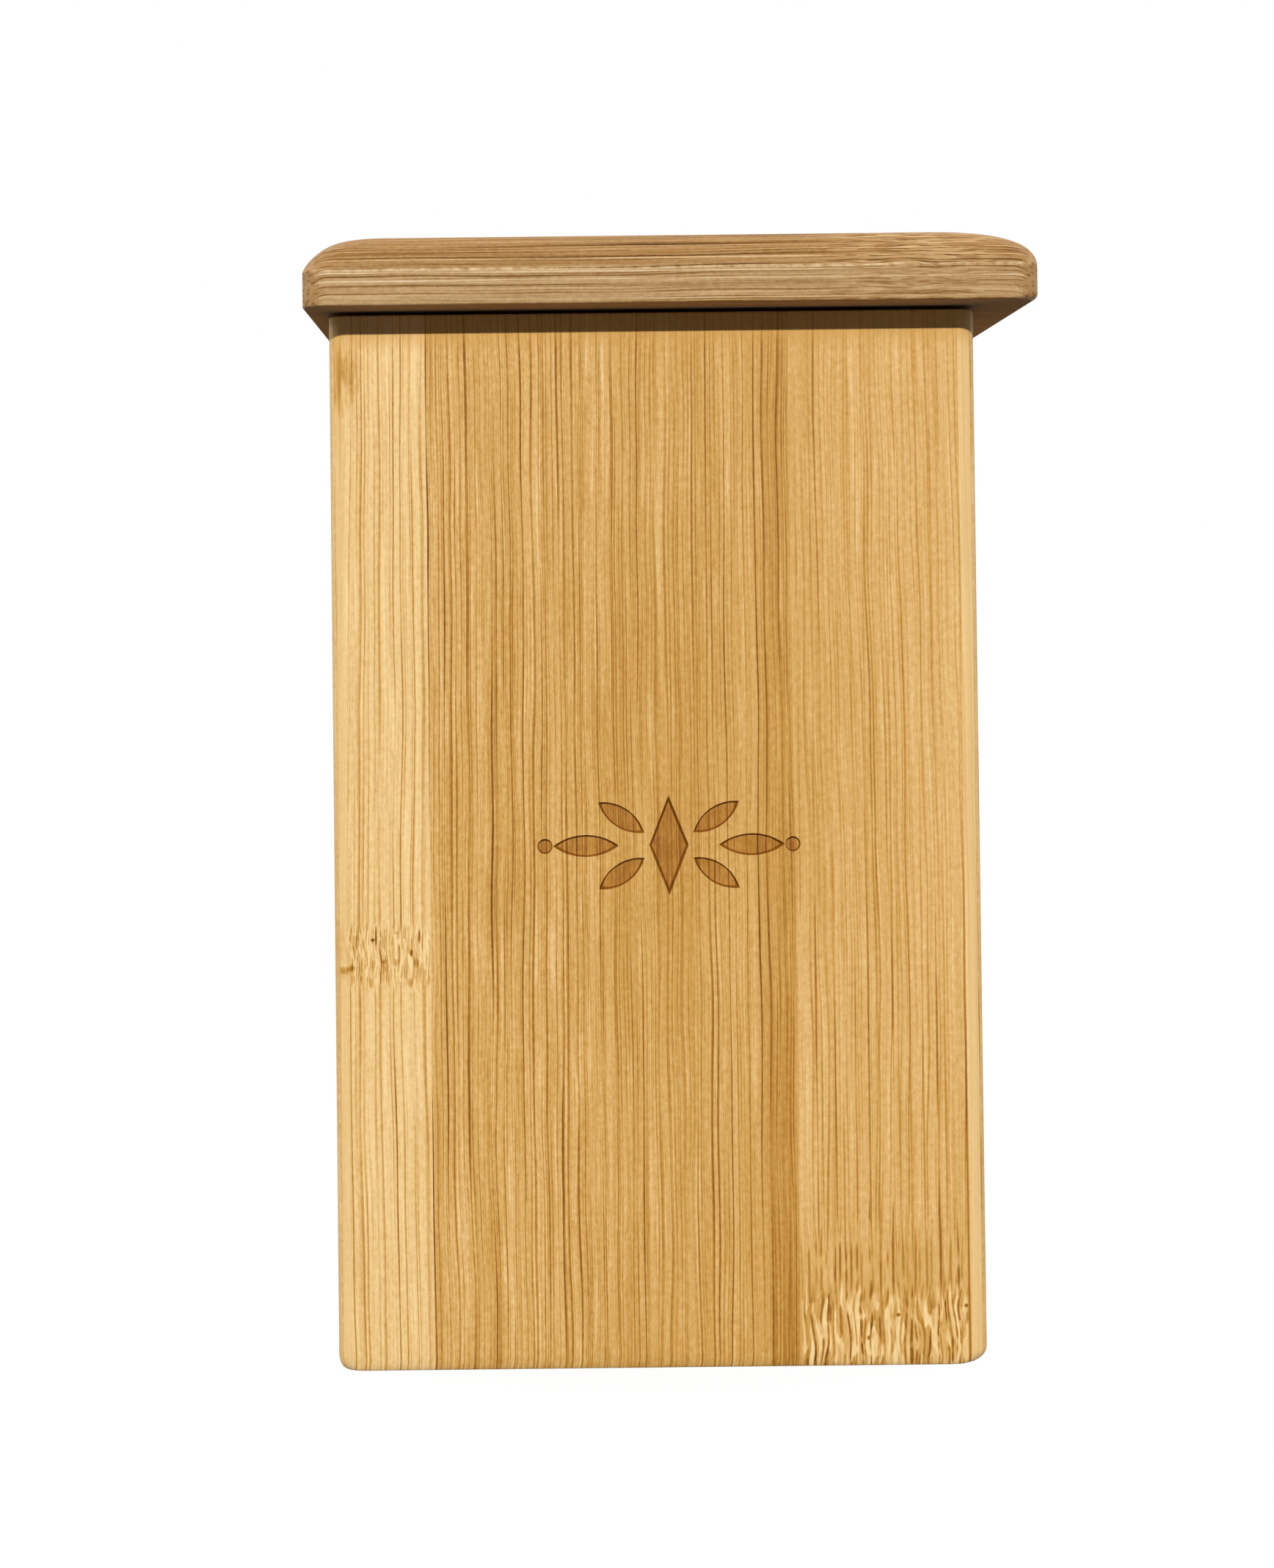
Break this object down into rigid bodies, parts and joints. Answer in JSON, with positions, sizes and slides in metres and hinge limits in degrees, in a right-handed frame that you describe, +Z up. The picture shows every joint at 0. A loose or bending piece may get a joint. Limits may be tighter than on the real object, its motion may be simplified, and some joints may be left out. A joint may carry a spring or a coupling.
{
  "type": "salt box",
  "caption": "Tall square bamboo salt box with a thick overhanging lid, hinged along its back edge and held shut by magnets, for keeping and reaching kitchen salt.",
  "frame": {"origin": "on the table, under the middle of the outline that the lid sets", "axes": "+Z up, the engraved front faces -Y, +X towards the lid's longer side overhang"},
  "size_m": [0.0776, 0.0804, 0.12],
  "materials": {
    "bamboo_wall": "golden caramel bamboo, fine dark vertical grain, satin",
    "bamboo_lid": "browner caramel bamboo, grain along its width, satin",
    "hinge_brass": "plain brass, lightly worn",
    "magnet_nickel": "nickel plated"
  },
  "bodies": {
    "box": {"front_panel": "bamboo_wall", "back_panel": "bamboo_wall", "left_panel": "bamboo_wall", "right_panel": "bamboo_wall", "bottom_panel": "bamboo_wall", "left_hinge_body_leaf": "hinge_brass", "right_hinge_body_leaf": "hinge_brass", "left_hinge_pin": "hinge_brass", "right_hinge_pin": "hinge_brass", "left_hinge_body_outer_screw": "hinge_brass", "left_hinge_body_inner_screw": "hinge_brass", "right_hinge_body_outer_screw": "hinge_brass", "right_hinge_body_inner_screw": "hinge_brass", "left_body_magnet": "magnet_nickel", "right_body_magnet": "magnet_nickel"},
    "lid": {"lid_board": "bamboo_lid", "left_hinge_lid_leaf": "hinge_brass", "right_hinge_lid_leaf": "hinge_brass", "left_hinge_lid_outer_screw": "hinge_brass", "left_hinge_lid_inner_screw": "hinge_brass", "right_hinge_lid_outer_screw": "hinge_brass", "right_hinge_lid_inner_screw": "hinge_brass", "left_lid_magnet": "magnet_nickel", "right_lid_magnet": "magnet_nickel"}
  },
  "joints": [
    {"name": "lid_hinge", "type": "hinge", "parent": "box", "child": "lid", "pos_m": [-0.00185, 0.0363, 0.1122], "axis": [-1, 0, 0], "range_deg": [0, 120]}
  ]
}
